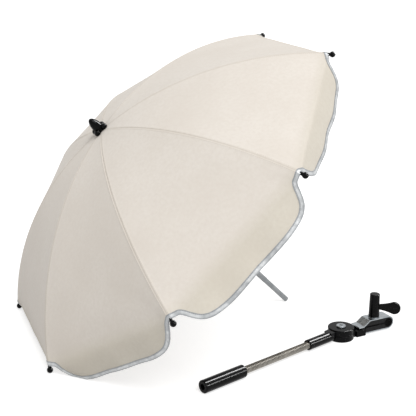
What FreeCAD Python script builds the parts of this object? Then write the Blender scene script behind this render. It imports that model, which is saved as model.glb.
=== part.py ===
import FreeCAD, Part
import math
import os

# Pram parasol: an eight-rib folding sunshade that lies open on the floor,
# and its clamp arm (pole socket, flexible neck, hinge disc, tube clamp) beside it.
# Millimetres, +Z up. The row's origin is on the floor, under the middle of the whole.
# The parasol is drawn upright about its pole, with the canopy's top at the origin,
# and then tipped over until two rib tips and the pole's end touch the floor.

V = FreeCAD.Vector
X_AXIS = V(1, 0, 0)
Y_AXIS = V(0, 1, 0)
Z_AXIS = V(0, 0, 1)

# Clearances
clear = 0.3                  # between pieces that pass each other
fit = 0.05                   # between pieces that are fixed in each other
running = 0.09               # radial, of a pin in its eye
overrun = 2.0                # of every cut past the face that it opens

# Canopy
rib_count = 8
tip_circle_radius = 350.0    # from the pole's axis to the centre of a tip's ball
dome_radius = 493.0          # of the arc that a seam follows, in its rib's plane
canopy_thickness = 1.0
canopy_hole = 5.0            # half width of the hole at the canopy's top
flap_depth = 45.0            # of the free edge below the line from rib tip to rib tip
flap_inset = 17.0            # from a seam to where the flap's round corner starts
side_flap_fold = 50.0        # degrees, inward, of the two flaps beside the top one
top_flap_fold = 85.0         # degrees, inward, of the flap that hangs from the top edge
floor_gap = 0.8              # under the edge of the flap that is tucked in on the floor

# Ribs, stretchers and their joints
rib_radius = 1.5
rib_rod_start = 7.0          # from the crown pivot to where the round rod starts
blade_length = 11.0          # of the flat end that is held in the crown
blade_thickness = 1.8
eye_radius = 2.2
hinge_wire_radius = 0.7
crown_pivot_radius = 11.0    # of the hinge wire's ring
crown_pivot_depth = 6.5      # below the canopy's top
stretcher_joint_reach = 167.0  # from the canopy's top to the stretcher joint, along the rib
ear_drop = 5.0               # of the stretcher joint below the rib's centre line
ear_thickness = 1.6
ear_radius = 2.0
rivet_radius = 0.9
rivet_head_radius = 1.5
rivet_head_height = 0.6
fork_cheek = 1.0
fork_depth = 4.0             # of the slot between the cheeks
fork_length = 9.0
stretcher_radius = 1.2
folded_tip_radius = 17.0     # from the pole's axis to a tip's ball when folded

# Rib tips
ball_radius = 4.75
ball_reach = 5.0             # from the rib's end to the ball's centre
neck_radius = 2.6
neck_overlap = 5.0           # of the neck along the rib

# Pole
pole_length = 472.0          # from the canopy's top to the pole's end
pole_radius = 4.75
pole_wall = 1.0
pole_top_gap = 1.6           # from the canopy's top to the tube's upper end
spigot_radius = 4.5
spigot_length = 60.0         # the stretch that goes into the arm's socket
plug_height = 3.0
plug_edge = 1.2
plug_stem_length = 10.0

# Crown, finial and runner
crown_radius = 14.0
crown_height = 10.5
crown_slot_root = 7.4        # from the pole's axis to the bottom of a rib slot
finial_body_radius = 8.6
finial_foot_height = 5.0     # from the finial's underside to where its dome starts
finial_height = 26.0
finial_stem_length = 14.0
finial_lobe_count = 4
finial_lobe_radius = 5.0
finial_lobe_reach = 10.4     # from the pole's axis to a lobe's centre
finial_lobe_height = 3.0     # of a lobe's centre above the finial's underside
runner_slot_width = 3.0
runner_slot_root = 7.2
runner_sleeve_radius = 7.0
runner_flange_radius = 14.0
runner_flange_height = 9.0
runner_waist = 12.0          # length of the sleeve between flange and grip ring
runner_grip_radius = 11.5
runner_grip_height = 12.0
button_radius = 2.0
button_length = 4.9
button_proud = 2.4           # of the grip ring
button_travel = 2.0
button_turn = 22.5           # degrees from a stretcher slot

# Clamp arm: pole socket, flexible neck and hinge disc
arm_heading = 20.0           # degrees from +X, from the socket towards the disc
disc_place_x = 348.0         # of the disc's axis, from the canopy's top
disc_place_y = -175.0
socket_radius = 10.0
socket_length = 80.0
socket_edge = 1.5
socket_play = 0.2            # around the pole's end in the socket
socket_bore_depth = 56.0
neck_free_length = 138.0     # of the flexible neck between socket and sleeve
neck_insert = 14.0           # of the neck in each of its two seats
neck_seat_radius = 6.5
coil_radius = 4.9            # to the middle of the coil's wire
coil_wire_radius = 1.05
coil_pitch = 2.62
coil_bend = 2.2              # radius of the bend at each end of the wire
core_radius = 3.5
sleeve_radius = 8.5
sleeve_length = 55.0
sleeve_edge = 1.2
set_screw_radius = 1.5
set_screw_length = 1.6
set_screw_place = 8.0        # from the sleeve's mouth
disc_radius = 21.5
disc_height = 20.0           # of the two halves together
disc_split = 10.0            # height of the face where the halves meet
disc_edge = 1.4
disc_split_edge = 0.8
disc_gap = 0.15
sleeve_disc_gap = 2.5        # from the sleeve's end to the lower half's edge
bridge_width = 15.0
bridge_drop = 1.6            # of the bridge's top below the disc's top
hinge_screw_radius = 2.9
hinge_head_radius = 7.8
hinge_head_height = 2.4
hinge_recess_width = 1.5
hinge_recess_length = 7.0
hinge_recess_depth = 1.2
hinge_nut_radius = 5.7       # to the corners
hinge_nut_height = 4.5
hinge_nut_sink = 0.3         # of the nut above the floor

# Clamp: block, jaws, pads, bolt and wing knob. Places are from the disc's axis.
clamp_turn = -13.0           # degrees, of the clamp from the arm's line
block_start = 24.0
block_end = 42.0
block_width = 24.4
block_top = 7.0
web_width = 18.0
jaw_width = 22.0
jaw_thickness = 1.8
jaw_pin_place = 37.0
jaw_pin_height = 10.5
jaw_pin_radius = 1.4
knuckle_radius = 3.0
knuckle_width = 13.0
block_ear_drop = 1.7         # of an ear's top at the block's ends, below its top at the pin
jaw_lip_start = 29.0         # where the upper jaw begins, over the block
jaw_ramp_start = 39.0
jaw_bend_radius = 2.4
seat_place = 88.0            # of the clamped tube's axis
seat_height = 13.6
seat_radius = 7.4
pad_thickness = 1.8
jaw_mouth = 6.0              # degrees below the tube's centre, where the lower jaw ends
upper_lip = -2.0             # degrees, where the upper jaw ends
pad_wrap = 80.0              # degrees past the top and bottom, on the bolt's side
pad_start = 43.0
pad_root_gap = 2.2           # between the two pads at their start
plateau_start = 51.0
bolt_place = 66.0
bolt_radius = 3.0
bolt_head_radius = 5.6
bolt_length = 56.0           # from the head's underside to the bolt's tip
bolt_tip_gap = 1.0           # from the bolt's tip to the bottom of the knob's bore
jaw_slot_play = 4.6          # of the bolt along the upper jaw's slot
washer_radius = 9.6
washer_thickness = 1.2
knob_radius = 9.0
knob_top_radius = 8.2
knob_height = 39.4
knob_edge = 1.2
paddle_heading = -42.0       # degrees, from the clamp's line
paddle_reach = 32.5          # from the bolt's axis to the round end's centre
paddle_end_radius = 10.5
paddle_root_height = 8.0
paddle_waist = 1.5           # of each flank inward, half way to the round end
paddle_thickness = 6.0
paddle_height = 17.0         # of the paddle's middle above the knob's foot
paddle_edge = 1.6

# Angles and lengths that follow from the sizes above
rib_step = 360.0 / rib_count
half_step = math.radians(rib_step / 2)
first_rib_angle = 180.0 - rib_step / 2
rib_angles = [first_rib_angle + rib_step * i for i in range(rib_count)]
rib_arc_radius = dome_radius - canopy_thickness - clear - rib_radius
rib_end_angle = (math.asin(tip_circle_radius / math.hypot(rib_arc_radius, ball_reach))
                 - math.atan2(ball_reach, rib_arc_radius))
tip_drop = (dome_radius - rib_arc_radius * math.cos(rib_end_angle)
            + ball_reach * math.sin(rib_end_angle))
rim_angle = rib_end_angle - (neck_overlap + clear) / rib_arc_radius
joint_angle = stretcher_joint_reach / rib_arc_radius
crown_pivot = V(crown_pivot_radius, 0, -crown_pivot_depth)
joint_arc_radius = rib_arc_radius - ear_drop
stretcher_joint = V(joint_arc_radius * math.sin(joint_angle), 0,
                    joint_arc_radius * math.cos(joint_angle) - dome_radius)
stretcher_length = (stretcher_joint - crown_pivot).Length
open_angle = math.atan2(stretcher_joint.x - crown_pivot.x, crown_pivot.z - stretcher_joint.z)
runner_pivot = V(crown_pivot.x, 0, 2 * stretcher_joint.z - crown_pivot.z)
tip_centre = V(tip_circle_radius, 0, -tip_drop)
tip_arm = tip_centre - crown_pivot
fold_turn = (math.atan2(tip_arm.x, -tip_arm.z)
             - math.asin((folded_tip_radius - crown_pivot_radius) / tip_arm.Length))
runner_travel = 2 * stretcher_length * (math.cos(open_angle - fold_turn) - math.cos(open_angle))

# Tilt of the lying parasol: the tip balls and the plug's round edge touch the floor together
contact_height = pole_length - plug_edge - tip_drop
contact_reach = tip_circle_radius * math.cos(half_step) - spigot_radius + plug_edge
tilt = (math.acos((ball_radius - plug_edge) / math.hypot(contact_height, contact_reach))
        - math.atan2(contact_reach, contact_height))
floor_drop = (tip_circle_radius * math.cos(half_step) * math.sin(tilt)
              + tip_drop * math.cos(tilt) + ball_radius)
parasol_place = FreeCAD.Placement(V(0, 0, floor_drop),
                                  FreeCAD.Rotation(Y_AXIS, -math.degrees(tilt)))
arm_place = FreeCAD.Placement(V(disc_place_x, disc_place_y, 0),
                              FreeCAD.Rotation(Z_AXIS, arm_heading))
clamp_place = arm_place.multiply(FreeCAD.Placement(V(), FreeCAD.Rotation(Z_AXIS, clamp_turn)))


def placed(shape, placement):
    """Return a copy of a shape, carried along by a placement."""
    copy = shape.copy()
    copy.Placement = placement.multiply(copy.Placement)
    return copy


def turned(shape, degrees):
    """Return a copy of a shape, turned about the pole's axis."""
    return placed(shape, FreeCAD.Placement(V(), FreeCAD.Rotation(Z_AXIS, degrees)))


def bar(low, high):
    """A box between its lowest and highest corners."""
    size = high - low
    return Part.makeBox(size.x, size.y, size.z, low)


def upright(radius, low, high, x=0, y=0):
    """A cylinder along Z between two heights."""
    return Part.makeCylinder(radius, high - low, V(x, y, low))


def across(radius, half_width, x, z):
    """A cylinder along Y, centred on the XZ plane."""
    return Part.makeCylinder(radius, 2 * half_width, V(x, -half_width, z), Y_AXIS)


def along(radius, start, end, z=0):
    """A cylinder along X between two places."""
    return Part.makeCylinder(radius, end - start, V(start, 0, z), X_AXIS)


def plate(points, half_width):
    """A flat plate of an outline in the XZ plane, as thick as two half widths along Y."""
    outline = [V(x, -half_width, z) for x, z in points]
    outline.append(outline[0])
    return Part.Face(Part.makePolygon(outline)).extrude(V(0, 2 * half_width, 0))


def round_edges(shape, radius, picked):
    """Round the edges of a shape that a test picks."""
    return shape.makeFillet(radius, [edge for edge in shape.Edges if picked(edge)])


def on_arc(radius, angle):
    """The point of a rib-plane arc about the dome's centre, at an angle from the pole's axis."""
    return V(radius * math.sin(angle), 0, radius * math.cos(angle) - dome_radius)


# Canopy. Every panel is the cloth on both sides of one rib, out to the middle of its gores.

def gore_half(side, flap_fold):
    """Half a gore with its flap, drawn about the gore's middle plane, on one side of it."""
    narrow_share = math.cos(half_step)
    hole_angle = math.asin(canopy_hole / dome_radius)
    edge_gap = clear / 2

    def profile_arc(radius):
        ellipse = Part.Ellipse(V(0, 0, radius - dome_radius),
                               V(radius * narrow_share, 0, -dome_radius), V(0, 0, -dome_radius))
        return ellipse.toShape(hole_angle, rim_angle)

    outer = profile_arc(dome_radius)
    inner = profile_arc(dome_radius - canopy_thickness)
    ends = [Part.makeLine(outer.valueAt(edge), inner.valueAt(edge)) for edge in (hole_angle, rim_angle)]
    section = Part.Face(Part.Wire(Part.__sortEdges__([outer, ends[1], inner, ends[0]])))
    rim = outer.valueAt(rim_angle)
    half_chord = dome_radius * math.sin(rim_angle) * math.sin(half_step)
    cloth = section.extrude(V(0, side * (half_chord + overrun), 0))

    far = rim.x + overrun
    wedge_outline = [V(edge_gap / math.tan(half_step), side * edge_gap, overrun),
                     V(far, side * edge_gap, overrun),
                     V(far, side * far * math.tan(half_step), overrun)]
    wedge_outline.append(wedge_outline[0])
    wedge = Part.Face(Part.makePolygon(wedge_outline)).extrude(V(0, 0, rim.z - 2 * overrun))
    cloth = cloth.common(wedge)

    slope = math.atan2(math.sin(rim_angle), narrow_share * math.cos(rim_angle)) + math.radians(flap_fold)
    down = V(math.cos(slope), 0, -math.sin(slope))
    inward = V(-math.sin(slope), 0, -math.cos(slope))

    def on_flap(aside, depth):
        return rim + V(0, side * aside, 0) + down * depth

    corner_reach = half_chord - flap_inset
    corner_middle = flap_depth * math.sqrt(0.5)
    corner = Part.Arc(on_flap(corner_reach - flap_depth, flap_depth),
                      on_flap(corner_reach - flap_depth + corner_middle, corner_middle),
                      on_flap(corner_reach, 0)).toShape()
    free_edge = Part.makePolygon([on_flap(corner_reach, 0), on_flap(edge_gap, 0),
                                  on_flap(edge_gap, flap_depth),
                                  on_flap(corner_reach - flap_depth, flap_depth)])
    flap = Part.Face(Part.Wire([corner] + free_edge.Edges)).extrude(inward * canopy_thickness)
    return cloth.fuse(flap)


def tucked_flap_fold():
    """Degrees that the flap on the floor turns inward, until its edge lies just above the floor."""
    slope = math.atan2(math.sin(rim_angle), math.cos(half_step) * math.cos(rim_angle))
    rim = on_arc(dome_radius, rim_angle)
    rim_height = floor_drop - rim.x * math.cos(half_step) * math.sin(tilt) + rim.z * math.cos(tilt)
    rest_slope = math.asin((rim_height - floor_gap) / flap_depth)
    return 180.0 - math.degrees(rest_slope + slope + tilt)


def make_canopy():
    """The eight panels, each turned to its rib."""
    tucked = tucked_flap_fold()
    folds = [tucked, 0, 0, side_flap_fold, top_flap_fold, side_flap_fold, 0, 0]
    panels = {}
    for i in range(rib_count):
        right = turned(gore_half(-1, folds[i]), rib_angles[i] + rib_step / 2)
        left = turned(gore_half(1, folds[i - 1]), rib_angles[i] - rib_step / 2)
        panels["canopy_panel_%d" % (i + 1)] = right.fuse(left).removeSplitter()
    return panels


# Ribs, tips and stretchers, drawn in the rib's own plane (X out from the pole)

def rib_rod(start_angle, end_angle):
    """The round rod of a rib, along its arc."""
    start = on_arc(rib_arc_radius, start_angle)
    normal = V(math.cos(start_angle), 0, -math.sin(start_angle))
    disc = Part.Face(Part.Wire(Part.makeCircle(rib_radius, start, normal)))
    return disc.revolve(V(0, 0, -dome_radius), Y_AXIS, math.degrees(end_angle - start_angle))


def make_rib():
    """A rib with its crown eye and its stretcher ear, and the rivet of that ear."""
    rod_start = crown_pivot_radius + rib_rod_start
    rod = rib_rod(math.asin(rod_start / rib_arc_radius), rib_end_angle)
    blade_end = crown_pivot_radius + blade_length
    rod_height = on_arc(rib_arc_radius, math.asin(blade_end / rib_arc_radius)).z
    blade = plate([(crown_pivot.x, crown_pivot.z - eye_radius), (blade_end, rod_height - rib_radius),
                   (blade_end, rod_height), (crown_pivot.x + rib_rod_start, rod_height + rib_radius),
                   (crown_pivot.x, crown_pivot.z + eye_radius)], blade_thickness / 2)
    blade = blade.fuse(across(eye_radius, blade_thickness / 2, crown_pivot.x, crown_pivot.z))
    ear = plate([(-ear_radius, -ear_drop), (ear_radius, -ear_drop), (ear_radius, 0), (-ear_radius, 0)],
                ear_thickness / 2)
    ear = ear.fuse(across(ear_radius, ear_thickness / 2, 0, -ear_drop))
    ear = placed(ear, FreeCAD.Placement(on_arc(rib_arc_radius, joint_angle),
                                        FreeCAD.Rotation(Y_AXIS, math.degrees(joint_angle))))
    rib = rod.fuse([blade, ear])
    rib = rib.cut(across(hinge_wire_radius + running, blade_thickness, crown_pivot.x, crown_pivot.z))
    rib = rib.cut(across(rivet_radius + fit, ear_thickness, stretcher_joint.x, stretcher_joint.z))
    rivet_half = ear_thickness / 2 + clear + fork_cheek
    rivet = across(rivet_radius, rivet_half + fit, stretcher_joint.x, stretcher_joint.z)
    for side in (-1, 1):
        seat = V(stretcher_joint.x, side * (rivet_half + fit), stretcher_joint.z)
        rivet = rivet.fuse(Part.makeCylinder(rivet_head_radius, rivet_head_height, seat, Y_AXIS * side))
    return Part.makeCompound([rib.removeSplitter(), rivet.removeSplitter()])


def make_tip():
    """A moulded tip: a ball on a neck that is pushed over the rib's end."""
    neck = along(neck_radius, -neck_overlap, ball_reach)
    tip = neck.fuse(Part.makeSphere(ball_radius, V(ball_reach, 0, 0)))
    tip = tip.cut(along(rib_radius + fit, -neck_overlap - overrun, 0))
    place = FreeCAD.Placement(on_arc(rib_arc_radius, rib_end_angle),
                              FreeCAD.Rotation(Y_AXIS, math.degrees(rib_end_angle)))
    return placed(tip, place)


def make_stretcher():
    """A stretcher, from its fork at the rib to its eye at the runner."""
    half_width = ear_thickness / 2 + clear + fork_cheek
    fork = plate([(0, -ear_radius), (fork_length, -stretcher_radius), (fork_length, stretcher_radius),
                  (0, ear_radius)], half_width)
    fork = fork.fuse(across(ear_radius, half_width, 0, 0))
    fork = fork.cut(bar(V(-ear_radius - overrun, -half_width + fork_cheek, -ear_radius - overrun),
                        V(fork_depth, half_width - fork_cheek, ear_radius + overrun)))
    fork = fork.cut(across(rivet_radius + running, half_width + overrun, 0, 0))
    eye_start = stretcher_length - blade_length
    rod = along(stretcher_radius, fork_depth + ear_radius, eye_start + eye_radius)
    eye = plate([(eye_start, -stretcher_radius), (stretcher_length, -eye_radius),
                 (stretcher_length, eye_radius), (eye_start, stretcher_radius)], blade_thickness / 2)
    eye = eye.fuse(across(eye_radius, blade_thickness / 2, stretcher_length, 0))
    eye = eye.cut(across(hinge_wire_radius + running, blade_thickness, stretcher_length, 0))
    stretcher = rod.fuse([fork, eye]).removeSplitter()
    run = runner_pivot - stretcher_joint
    turn = math.degrees(math.atan2(-run.z, run.x))
    return placed(stretcher, FreeCAD.Placement(stretcher_joint, FreeCAD.Rotation(Y_AXIS, turn)))


# Pole, crown, finial and runner, drawn about the pole's axis

def slotted_ring(radius, low, high, slot_width, slot_root):
    """A solid ring with an open radial slot at every rib."""
    ring = upright(radius, low, high)
    for angle in rib_angles:
        slot = bar(V(slot_root, -slot_width / 2, low - overrun),
                   V(radius + overrun, slot_width / 2, high + overrun))
        ring = ring.cut(turned(slot, angle))
    return ring


def make_crown():
    """The crown that holds the ribs' inner ends on a ring of wire."""
    top = -canopy_thickness - clear
    slot_width = blade_thickness + 2 * clear
    crown = slotted_ring(crown_radius, top - crown_height, top, slot_width, crown_slot_root)
    crown = crown.cut(upright(pole_radius + fit, top - crown_height - overrun, top + overrun))
    channel = Part.makeTorus(crown_pivot_radius, hinge_wire_radius + fit, V(0, 0, crown_pivot.z))
    return crown.cut(channel)


def make_pole():
    """The tube, a hair slimmer where it goes into the arm's socket."""
    end = -pole_length + plug_height
    spigot_top = -pole_length + spigot_length
    tube = upright(pole_radius, spigot_top, -pole_top_gap).fuse(upright(spigot_radius, end, spigot_top))
    return tube.cut(upright(pole_radius - pole_wall, end - overrun, overrun))


def make_plug():
    """The round-edged plug in the pole's lower end."""
    top = -pole_length + plug_height
    head = round_edges(upright(spigot_radius, -pole_length, top), plug_edge,
                       lambda edge: edge.BoundBox.ZMax < top - plug_edge)
    return head.fuse(upright(pole_radius - pole_wall - fit, top, top + plug_stem_length))


def make_finial():
    """The knob on top: a bullet on a foot of round lobes, with a stem in the pole."""
    base = clear
    dome_base = base + finial_foot_height
    top = V(0, 0, base + finial_height)
    dome = Part.Ellipse(top, V(finial_body_radius, 0, dome_base), V(0, 0, dome_base))
    dome = dome.toShape(0, math.pi / 2)
    outline = Part.makePolygon([top, V(0, 0, base), V(finial_body_radius, 0, base),
                                V(finial_body_radius, 0, dome_base)])
    body = Part.Face(Part.Wire(Part.__sortEdges__(outline.Edges + [dome]))).revolve(V(), Z_AXIS, 360)
    for i in range(finial_lobe_count):
        angle = math.radians((i + 0.5) * 360 / finial_lobe_count)
        body = body.fuse(Part.makeSphere(finial_lobe_radius, V(finial_lobe_reach * math.cos(angle),
                                                               finial_lobe_reach * math.sin(angle),
                                                               base + finial_lobe_height)))
    below = upright(finial_lobe_reach + finial_lobe_radius + overrun, base - finial_lobe_radius, base)
    return body.cut(below).fuse(upright(pole_radius - pole_wall - fit, base - finial_stem_length, base))


def runner_levels():
    """Heights of the runner's flange and grip ring: flange top, flange foot, grip top, grip foot."""
    flange_top = runner_pivot.z + runner_flange_height / 2
    flange_foot = flange_top - runner_flange_height
    grip_top = flange_foot - runner_waist
    return flange_top, flange_foot, grip_top, grip_top - runner_grip_height


runner_wire_ring = crown_pivot_radius - eye_radius - clear - hinge_wire_radius


def make_runner():
    """The runner: slotted flange, sleeve and fluted grip ring with the button's pocket."""
    flange_top, flange_foot, grip_top, grip_foot = runner_levels()
    flange = slotted_ring(runner_flange_radius, flange_foot, flange_top,
                          runner_slot_width, runner_slot_root)
    grip = slotted_ring(runner_grip_radius, grip_foot, grip_top, runner_slot_width, runner_slot_root)
    runner = upright(runner_sleeve_radius, grip_foot, (flange_top + flange_foot) / 2)
    runner = runner.fuse([flange, grip]).removeSplitter()
    runner = runner.cut(Part.makeTorus(runner_wire_ring, hinge_wire_radius + fit, V(0, 0, runner_pivot.z)))
    runner = runner.cut(upright(pole_radius + clear, grip_foot - overrun, flange_top + overrun))
    pocket_start = runner_grip_radius + button_proud - button_length - button_travel - clear
    pocket = along(button_radius + fit, pocket_start, runner_grip_radius + overrun,
                   (grip_top + grip_foot) / 2)
    return runner.cut(turned(pocket, rib_angles[0] + button_turn))


def make_button():
    """The push button in the runner's grip ring, with a rounded thumb end."""
    middle = sum(runner_levels()[2:]) / 2
    end = runner_grip_radius + button_proud
    button = along(button_radius, end - button_length, end, middle)
    button = round_edges(button, button_radius / 2, lambda edge: edge.BoundBox.XMin > end - button_radius)
    return turned(button, rib_angles[0] + button_turn)


# Clamp arm, drawn along X about the hinge disc's axis, on the floor

neck_height = socket_radius
socket_bore_radius = spigot_radius + socket_play
sleeve_end = -disc_radius - sleeve_disc_gap
sleeve_mouth = sleeve_end - sleeve_length
socket_back = sleeve_mouth - neck_free_length
socket_mouth = socket_back - socket_length


def make_socket():
    """The tube that takes the pole's end, with the neck's seat at its back."""
    socket = along(socket_radius, socket_mouth, socket_back, neck_height)
    socket = round_edges(socket, socket_edge, lambda edge: edge.Closed)
    socket = socket.cut(along(socket_bore_radius, socket_mouth - overrun,
                              socket_mouth + socket_bore_depth, neck_height))
    return socket.cut(along(neck_seat_radius, socket_back - neck_insert,
                            socket_back + overrun, neck_height))


def arc_from(start, tangent, end):
    """The arc that leaves a point along a tangent and ends at another point."""
    chord = end - start
    straight = V(chord)
    straight.normalize()
    turn = math.acos(max(-1, min(1, straight.dot(tangent))))
    side = tangent - straight * straight.dot(tangent)
    side.normalize()
    middle = (start + end) * 0.5 + side * (chord.Length / 2 * math.tan(turn / 2))
    return Part.Arc(start, middle, end).toShape()


def biarc(start, start_tangent, end, end_tangent):
    """Two arcs that join two points, smoothly between themselves and along both tangents."""
    chord = end - start
    total = start_tangent + end_tangent
    opening = 2 * (1 - start_tangent.dot(end_tangent))
    reach = (math.sqrt(chord.dot(total) ** 2 + opening * chord.dot(chord)) - chord.dot(total)) / opening
    middle = (start + end + (start_tangent - end_tangent) * reach) * 0.5
    second = arc_from(end, end_tangent * -1, middle)
    return [arc_from(start, start_tangent, middle), second]


def make_coil():
    """The flexible neck's winding: one unbroken wire whose two ends turn along the neck."""
    start = socket_back - neck_insert
    end = sleeve_mouth + neck_insert
    straight_run = 2 * coil_wire_radius
    wound_start = start + straight_run + coil_bend
    wound_end = end - straight_run - coil_bend
    turns = round((wound_end - wound_start) / coil_pitch)
    pitch = (wound_end - wound_start) / turns

    def on_helix(angle):
        return V(wound_start + pitch * angle / (2 * math.pi),
                 coil_radius * math.cos(angle), neck_height + coil_radius * math.sin(angle))

    def helix_tangent(angle):
        tangent = V(pitch / (2 * math.pi), -coil_radius * math.sin(angle), coil_radius * math.cos(angle))
        tangent.normalize()
        return tangent

    lead_in = V(wound_start - coil_bend, coil_radius, neck_height - coil_bend)
    lead_out = V(wound_end + coil_bend, coil_radius, neck_height + coil_bend)
    edges = [Part.makeLine(V(start, lead_in.y, lead_in.z), lead_in)]
    edges += biarc(lead_in, X_AXIS, on_helix(0), helix_tangent(0))
    for half in range(2 * turns):
        begin = math.pi * half
        finish = begin + math.pi
        edges += biarc(on_helix(begin), helix_tangent(begin), on_helix(finish), helix_tangent(finish))
    edges += biarc(on_helix(2 * math.pi * turns), helix_tangent(0), lead_out, X_AXIS)
    edges.append(Part.makeLine(lead_out, V(end, lead_out.y, lead_out.z)))
    path = Part.Wire(edges)
    ring = Part.Wire(Part.makeCircle(coil_wire_radius, V(start, lead_in.y, lead_in.z), X_AXIS))
    coil = path.makePipeShell([ring], True, False)
    print_coil_gap(on_helix, turns)
    section_length = math.pi * coil_wire_radius ** 2 * path.Length
    print("coil volume over its section times its length: %.4f" % (coil.Volume / section_length))
    return coil


def print_coil_gap(on_helix, turns):
    """Measure, on points, how near the winding comes to itself."""
    per_turn = 24
    points = [on_helix(2 * math.pi * i / per_turn) for i in range(per_turn * turns + 1)]
    least = min((points[i] - points[j]).Length
                for i in range(len(points))
                for j in range(i + per_turn // 2, min(len(points), i + 2 * per_turn)))
    print("coil turns %d, least gap to itself %.3f mm" % (turns, least - 2 * coil_wire_radius))


def make_core():
    """The bendable rod inside the winding, seated in both ends."""
    return along(core_radius, socket_back - neck_insert, sleeve_mouth + neck_insert, neck_height)


def make_hinge_arm():
    """The sleeve that holds the neck, in one piece with the upper half of the hinge disc."""
    sleeve = along(sleeve_radius, sleeve_mouth, sleeve_end, neck_height)
    sleeve = round_edges(sleeve, sleeve_edge, lambda edge: edge.Closed)
    disc = upright(disc_radius, disc_split + disc_gap, disc_height)
    disc = round_edges(disc, disc_edge, lambda edge: edge.BoundBox.ZMin > disc_height - disc_edge)
    disc = round_edges(disc, disc_split_edge,
                       lambda edge: edge.BoundBox.ZMax < disc_split + disc_split_edge)
    bridge = bar(V(sleeve_end - bridge_width / 2, -bridge_width / 2, disc_split + disc_gap),
                 V(0, bridge_width / 2, disc_height - bridge_drop))
    arm = sleeve.fuse([disc, bridge]).removeSplitter()
    arm = arm.cut(upright(hinge_screw_radius + running, disc_split - overrun, disc_height + overrun))
    arm = arm.cut(along(neck_seat_radius, sleeve_mouth - overrun, sleeve_mouth + neck_insert, neck_height))
    return arm.cut(set_screw_hole(set_screw_radius + fit, overrun))


def set_screw_hole(radius, extra):
    """The set screw's cylinder, radial in the sleeve's wall on the side away from the parasol."""
    start = V(sleeve_mouth + set_screw_place, extra - neck_seat_radius, neck_height)
    return Part.makeCylinder(radius, set_screw_length + 2 * extra, start, Y_AXIS * -1)


def make_set_screw():
    """The set screw that grips the neck in the sleeve."""
    return set_screw_hole(set_screw_radius, 0)


# Clamp, drawn along X about the hinge disc's axis, and turned by clamp_turn

jaw_outer = seat_radius + pad_thickness + jaw_thickness
jaw_inner = seat_radius + pad_thickness
lower_jaw_foot = seat_height - jaw_outer
plateau_top = seat_height + jaw_outer
jaw_slot_depth = (block_end - block_start) / 2


def ring_sector(inner, outer, width, start, end):
    """Part of a tube about the seat's axis, between two angles from +X towards +Z."""
    def on_seat(radius, degrees):
        angle = math.radians(degrees)
        return V(seat_place + radius * math.cos(angle), -width / 2, seat_height + radius * math.sin(angle))
    middle = (start + end) / 2
    outside = Part.Arc(on_seat(outer, start), on_seat(outer, middle), on_seat(outer, end)).toShape()
    inside = Part.Arc(on_seat(inner, start), on_seat(inner, middle), on_seat(inner, end)).toShape()
    caps = [Part.makeLine(on_seat(inner, turn), on_seat(outer, turn)) for turn in (start, end)]
    edges = Part.__sortEdges__([outside, caps[1], inside, caps[0]])
    return Part.Face(Part.Wire(edges)).extrude(V(0, width, 0))


def make_clamp_base():
    """The lower half of the hinge disc, in one piece with the clamp's block and its two ears."""
    disc = upright(disc_radius, 0, disc_split)
    disc = round_edges(disc, disc_edge, lambda edge: edge.BoundBox.ZMax < disc_split - disc_edge)
    disc = round_edges(disc, disc_split_edge,
                       lambda edge: edge.BoundBox.ZMin > disc_split - disc_split_edge)
    web = bar(V(0, -web_width / 2, 0), V(block_start + web_width / 2, web_width / 2, disc_split))
    block = bar(V(block_start, -block_width / 2, 0), V(block_end, block_width / 2, block_top))
    base = disc.fuse([web, block])
    ear_inner = knuckle_width / 2 + clear
    ear_half = (block_width / 2 - ear_inner) / 2
    ear_top = jaw_pin_height + knuckle_radius
    for side in (-1, 1):
        ear = plate([(block_start, block_top / 2), (block_end, block_top / 2),
                     (block_end, ear_top - block_ear_drop), (jaw_pin_place, ear_top),
                     (block_start, ear_top - 2 * block_ear_drop)], ear_half)
        ear = ear.fuse(across(knuckle_radius, ear_half, jaw_pin_place, jaw_pin_height))
        ear.translate(V(0, side * (block_width / 2 + ear_inner) / 2, 0))
        base = base.fuse(ear)
    base = base.removeSplitter()
    base = base.cut(across(jaw_pin_radius + fit, block_width, jaw_pin_place, jaw_pin_height))
    base = base.cut(upright(hinge_screw_radius + fit, -overrun, disc_split + overrun))
    nut_room = hex_prism(hinge_nut_radius + fit, -overrun, hinge_nut_sink + hinge_nut_height)
    base = base.cut(nut_room)
    slot = bar(V(block_end - jaw_slot_depth, -jaw_width / 2 - fit, lower_jaw_foot),
               V(block_end + overrun, jaw_width / 2 + fit, lower_jaw_foot + jaw_thickness))
    return base.cut(slot)


def hex_prism(corner_radius, low, high):
    """A six-sided prism about Z."""
    angles = [math.radians(60 * i) for i in range(7)]
    corners = [V(corner_radius * math.cos(angle), corner_radius * math.sin(angle), low) for angle in angles]
    return Part.Face(Part.makePolygon(corners)).extrude(V(0, 0, high - low))


def make_hinge_screw():
    """The hinge disc's screw, with a broad low head and a cross recess."""
    head = upright(hinge_head_radius, disc_height, disc_height + hinge_head_height)
    head = round_edges(head, hinge_head_height / 2, lambda edge: edge.BoundBox.ZMin > disc_height)
    screw = head.fuse(upright(hinge_screw_radius, hinge_nut_sink, disc_height))
    top = disc_height + hinge_head_height
    for size in ((hinge_recess_length, hinge_recess_width), (hinge_recess_width, hinge_recess_length)):
        screw = screw.cut(bar(V(-size[0] / 2, -size[1] / 2, top - hinge_recess_depth),
                              V(size[0] / 2, size[1] / 2, top + overrun)))
    return screw


def make_hinge_nut():
    """The nut under the hinge disc, sunk in the lower half."""
    nut = hex_prism(hinge_nut_radius, hinge_nut_sink, hinge_nut_sink + hinge_nut_height)
    return nut.cut(upright(hinge_screw_radius + fit, -overrun, disc_split))


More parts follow.
